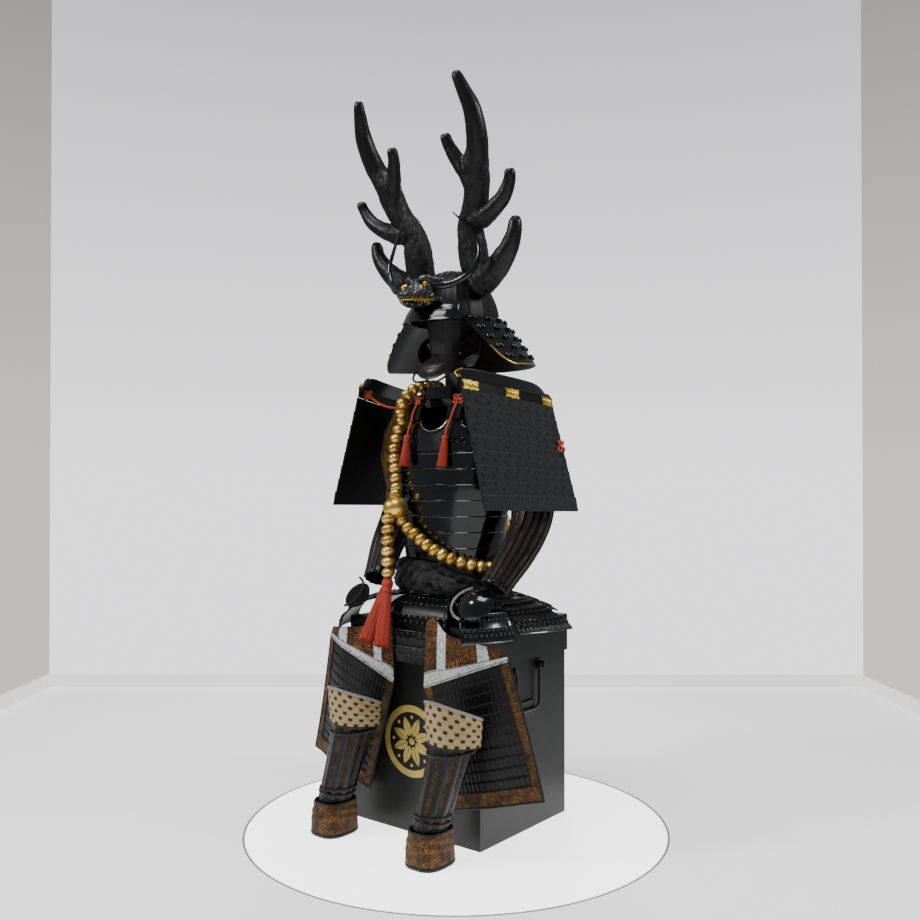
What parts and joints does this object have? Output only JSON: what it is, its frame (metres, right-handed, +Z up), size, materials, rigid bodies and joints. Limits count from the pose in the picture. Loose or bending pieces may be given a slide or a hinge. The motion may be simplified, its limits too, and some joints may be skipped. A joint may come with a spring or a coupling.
{
  "type": "samurai armour seated on an armour box with display stand",
  "caption": "Laced samurai armour with antlered helmet, half mask, rosary and tassels, seated on its lacquered armour box with swinging bail handles",
  "frame": {"origin": "centre of the underside of the armour box, on the floor", "axes": "+Z up, the armour faces -Y, the wearer's left is +X"},
  "size_m": [0.786, 0.6165, 1.9501],
  "materials": {
    "black_plates": "satin black lacquer",
    "gloss_plates": "gloss black lacquer",
    "box_lacquer": "satin black lacquer over wood",
    "black_iron": "black iron",
    "wood": "plain wood",
    "black_cloth": "crinkled black crepe",
    "brocade": "brown and gold brocade",
    "tan_cloth": "quilted tan cloth",
    "mask": "brown-black lacquer",
    "beads": "satin gilt",
    "silk_tassels": "orange-red silk"
  },
  "bodies": {
    "armour": {"box_body": "box_lacquer", "box_lid": "box_lacquer", "handle_pad_left": "black_iron", "handle_pad_right": "black_iron", "handle_eye_left_front": "black_iron", "handle_eye_left_back": "black_iron", "handle_eye_right_front": "black_iron", "handle_eye_right_back": "black_iron", "stand_frame": "wood", "helmet_bowl": "black_plates", "helmet_visor": "gloss_plates", "neck_guard": "black_plates", "crest_beast": "black_plates", "crest_horn_left": "gloss_plates", "crest_horn_right": "gloss_plates", "antler_left": "black_plates", "antler_right": "black_plates", "face_mask": "mask", "throat_guard": "gloss_plates", "cuirass_front": "black_plates", "cuirass_back": "black_plates", "shoulder_strap_left": "black_plates", "shoulder_strap_right": "black_plates", "waist_sash": "black_cloth", "sash_knot": "black_cloth", "tasset_front": "black_plates", "tasset_front_left": "gloss_plates", "tasset_front_right": "black_plates", "tasset_side_left": "black_plates", "tasset_side_right": "black_plates", "tasset_back_left": "black_plates", "tasset_back_right": "black_plates", "shoulder_guard_left": "black_plates", "shoulder_guard_right": "black_plates", "crown_plate_left": "gloss_plates", "crown_plate_right": "gloss_plates", "sleeve_left": "brocade", "sleeve_right": "brocade", "hand_guard_left": "gloss_plates", "hand_guard_right": "gloss_plates", "thigh_guard_left": "brocade", "thigh_guard_right": "brocade", "shin_guard_left": "black_plates", "shin_guard_right": "black_plates", "knee_plate_left": "tan_cloth", "knee_plate_right": "tan_cloth", "foot_cover_left": "brocade", "foot_cover_right": "brocade", "beads_loop": "beads", "beads_pendant": "beads", "tassel_beads_left": "silk_tassels", "tassel_beads_right": "silk_tassels", "tassel_chest_left": "silk_tassels", "tassel_chest_right": "silk_tassels", "cord_chest_left": "silk_tassels", "cord_chest_right": "silk_tassels", "cord_ring_right": "silk_tassels", "helmet_cord": "black_cloth"},
    "handle_left": {"handle_left": "black_iron"},
    "handle_right": {"handle_right": "black_iron"}
  },
  "joints": [
    {"name": "handle_left_swing", "type": "hinge", "parent": "armour", "child": "handle_left", "pos_m": [0.2315, 0, 0.43], "axis": [0, -1, 0], "range_deg": [0, 100]},
    {"name": "handle_right_swing", "type": "hinge", "parent": "armour", "child": "handle_right", "pos_m": [-0.2315, 0, 0.43], "axis": [0, 1, 0], "range_deg": [0, 100]}
  ]
}
